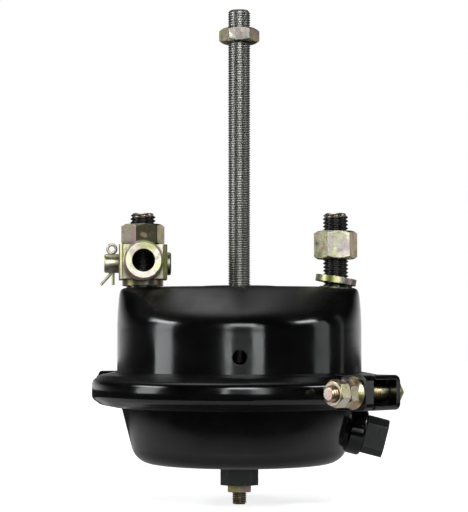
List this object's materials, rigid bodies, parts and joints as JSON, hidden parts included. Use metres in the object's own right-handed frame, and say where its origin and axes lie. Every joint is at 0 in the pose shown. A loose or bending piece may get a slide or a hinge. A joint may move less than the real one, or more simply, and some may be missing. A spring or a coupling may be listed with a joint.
{
  "type": "air brake chamber",
  "caption": "Single-diaphragm air brake chamber with a sliding threaded push rod, clamp band, mounting studs, a spare clevis on one stud and two tapped air ports.",
  "frame": {"origin": "on the push-rod axis, in the plane of the two raised pads the studs stand on", "axes": "+Z along the push rod, out of the chamber; +X to the bare stud and the side air port; -Y to the side the picture was taken from"},
  "size_m": [0.1914, 0.19, 0.3089],
  "materials": {
    "black_coat": "gloss",
    "yellow_zinc": "satin",
    "bare_steel": "satin",
    "black_steel": "satin",
    "spring_steel": "satin",
    "rubber": "matt"
  },
  "bodies": {
    "chamber": {"bottom_port_plug": "yellow_zinc", "clamp_band_back": "black_coat", "clamp_band_front": "black_coat", "clamp_bolt_back": "yellow_zinc", "clamp_bolt_front": "yellow_zinc", "clamp_flange_nut_back": "yellow_zinc", "clamp_flange_nut_front": "yellow_zinc", "clamp_jam_nut_back": "yellow_zinc", "clamp_jam_nut_front": "yellow_zinc", "clevis": "yellow_zinc", "diaphragm": "rubber", "lock_washer_left": "yellow_zinc", "lock_washer_right": "yellow_zinc", "mounting_stud_left": "black_steel", "mounting_stud_right": "black_steel", "non_pressure_housing": "black_coat", "port_boss_bottom": "black_coat", "port_boss_side": "black_coat", "pressure_housing": "black_coat", "return_spring": "spring_steel", "rod_guide": "rubber", "stud_collar_left": "black_steel", "stud_collar_right": "black_steel", "stud_nut_left": "yellow_zinc", "stud_nut_right": "yellow_zinc", "stud_plate": "black_steel"},
    "push_rod_assembly": {"push_rod": "bare_steel", "push_plate": "bare_steel", "rod_nut": "yellow_zinc"},
    "clevis_pin_assembly": {"clevis_pin": "yellow_zinc", "cotter_pin": "yellow_zinc"}
  },
  "joints": [
    {"name": "push_rod_stroke", "type": "slide", "parent": "chamber", "child": "push_rod_assembly", "axis": [0, 0, 1], "range_m": [0, 0.057], "stiffness_N_per_m": 1500, "springref_m": -0.04, "deforming": ["return_spring", "diaphragm"]},
    {"name": "clevis_pin_turn", "type": "hinge", "parent": "chamber", "child": "clevis_pin_assembly", "pos_m": [-0.06139, 0.01516, 0.0159], "axis": [0.9976, 0.0698, 0], "continuous": true}
  ]
}
